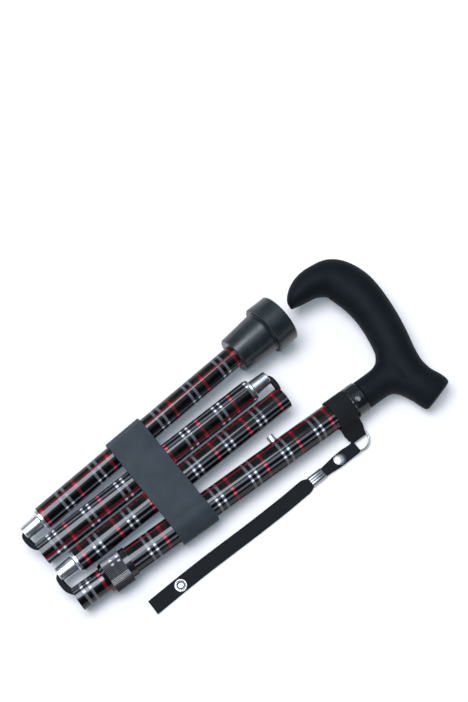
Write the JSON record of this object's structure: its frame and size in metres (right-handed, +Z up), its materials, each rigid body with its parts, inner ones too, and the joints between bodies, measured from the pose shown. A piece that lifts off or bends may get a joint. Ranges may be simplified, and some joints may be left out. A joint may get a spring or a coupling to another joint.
{
  "type": "folding cane",
  "caption": "Folding walking cane lying folded: tartan tube sections side by side on an elastic cord, derby handle, height lock, rubber foot, holder clip and wrist strap.",
  "frame": {"origin": "middle of the folded cane's outline on the table", "axes": "+X along the middle sections towards the handle, +Y from the top section towards the foot section, +Z up from the table"},
  "size_m": [0.289, 0.1279, 0.0362],
  "materials": {
    "soft_grip": "soft-touch matte",
    "gloss_black": "gloss",
    "stem_plastic": "matte",
    "tartan_tube": "gloss printed tartan",
    "tartan_lock": "ribbed printed tartan",
    "chrome": "polished",
    "steel": "plain",
    "webbing": "woven",
    "cord": "braided elastic",
    "rubber": "matte",
    "bush_plastic": "matte",
    "clip_plastic": "satin slate grey"
  },
  "bodies": {
    "handle_section": {"handle_grip": "soft_grip", "handle_stem": "stem_plastic", "handle_collar": "gloss_black", "handle_pin": "steel", "upper_tube": "tartan_tube", "lock_collet": "gloss_black", "strap_band": "webbing"},
    "lock_ring": {"lock_ring": "tartan_lock"},
    "inner_section": {"inner_tube": "tartan_tube", "guide_bush": "bush_plastic", "inner_socket": "bush_plastic", "button_spring": "steel", "cord_anchor_top": "steel", "cord_top": "cord"},
    "snap_button": {"snap_button": "chrome"},
    "upper_link": {"cord_loop_top": "cord"},
    "upper_middle_section": {"upper_middle_tube": "tartan_tube", "upper_middle_spigot": "chrome", "upper_middle_socket": "bush_plastic", "upper_middle_cord": "cord"},
    "middle_link": {"cord_loop_middle": "cord"},
    "lower_middle_section": {"lower_middle_tube": "tartan_tube", "lower_middle_spigot": "chrome", "lower_middle_socket": "bush_plastic", "lower_middle_cord": "cord"},
    "lower_link": {"cord_loop_foot": "cord"},
    "foot_section": {"foot_tube": "tartan_tube", "foot_spigot": "chrome", "foot_cord": "cord", "cord_anchor_foot": "steel", "foot_washer": "steel", "rubber_foot": "rubber"},
    "holder_clip": {"holder_clip": "clip_plastic"},
    "d_ring": {"d_ring": "steel"},
    "wrist_strap": {"strap_tab": "webbing", "snap_cap": "chrome", "strap_crimp": "steel", "strap_webbing": "webbing", "snap_socket": "steel"}
  },
  "joints": [
    {"name": "ring_turn", "type": "hinge", "parent": "handle_section", "child": "lock_ring", "pos_m": [-0.1165, -0.01869, 0.01117], "axis": [0.9984, -0.0557, 0.0076], "range_deg": [0, 180]},
    {"name": "height_adjust", "type": "slide", "parent": "handle_section", "child": "inner_section", "axis": [-0.9984, 0.0557, -0.0076], "range_m": [0, 0.1016], "deforming": ["snap_button"]},
    {"name": "button_press", "type": "slide", "parent": "inner_section", "child": "snap_button", "axis": [-0.0549, -0.9957, -0.0747], "range_m": [0, 0.0043], "stiffness_N_per_m": 400, "deforming": ["button_spring"]},
    {"name": "fold_upper", "type": "hinge", "parent": "inner_section", "child": "upper_link", "pos_m": [-0.14047, -0.00781, 0.0117], "axis": [-0.0117, -0.0742, 0.9972], "range_deg": [0, 176.8], "deforming": ["cord_loop_top"]},
    {"name": "seat_upper", "type": "slide", "parent": "upper_link", "child": "upper_middle_section", "axis": [-0.9999, 0, -0.0117], "range_m": [0, 0.01414], "deforming": ["cord_top", "upper_middle_cord"]},
    {"name": "seat_middle", "type": "slide", "parent": "upper_middle_section", "child": "middle_link", "axis": [-0.9999, 0, -0.0117], "range_m": [0, 0.013], "deforming": ["lower_middle_cord"]},
    {"name": "fold_middle", "type": "hinge", "parent": "middle_link", "child": "lower_middle_section", "pos_m": [0.044, 0.0104, 0.01521], "axis": [-0.0117, -0.0742, 0.9972], "range_deg": [-180, 0], "deforming": ["cord_loop_middle"]},
    {"name": "fold_lower", "type": "hinge", "parent": "lower_middle_section", "child": "lower_link", "pos_m": [-0.1412, 0.02766, 0.01433], "axis": [-0.0117, -0.0742, 0.9972], "range_deg": [0, 177.35], "deforming": ["cord_loop_foot"]},
    {"name": "seat_lower", "type": "slide", "parent": "lower_link", "child": "foot_section", "axis": [-0.9988, -0.0461, -0.0151], "range_m": [0, 0.01341], "deforming": ["foot_cord"]},
    {"name": "clip_lift", "type": "slide", "parent": "inner_section", "child": "holder_clip", "axis": [-0.0117, -0.0742, 0.9972], "range_m": [0, 0.03], "deforming": ["holder_clip"]},
    {"name": "d_ring_swing", "type": "hinge", "parent": "handle_section", "child": "d_ring", "pos_m": [0.06539, -0.04678, 0.00274], "axis": [-0.9984, 0.0557, -0.0076], "range_deg": [0, 75]},
    {"name": "strap_swing", "type": "hinge", "parent": "d_ring", "child": "wrist_strap", "pos_m": [0.05862, -0.05144, 0.00232], "axis": [-0.0549, -0.9957, -0.0747], "range_deg": [-80, 0]}
  ],
  "couplings": [
    {"joint": "fold_middle", "follows": "fold_upper", "ratio": -1.0181},
    {"joint": "fold_lower", "follows": "fold_upper", "ratio": 1.0031},
    {"joint": "seat_middle", "follows": "seat_upper", "ratio": 0.91961},
    {"joint": "seat_lower", "follows": "seat_upper", "ratio": 0.9489}
  ]
}
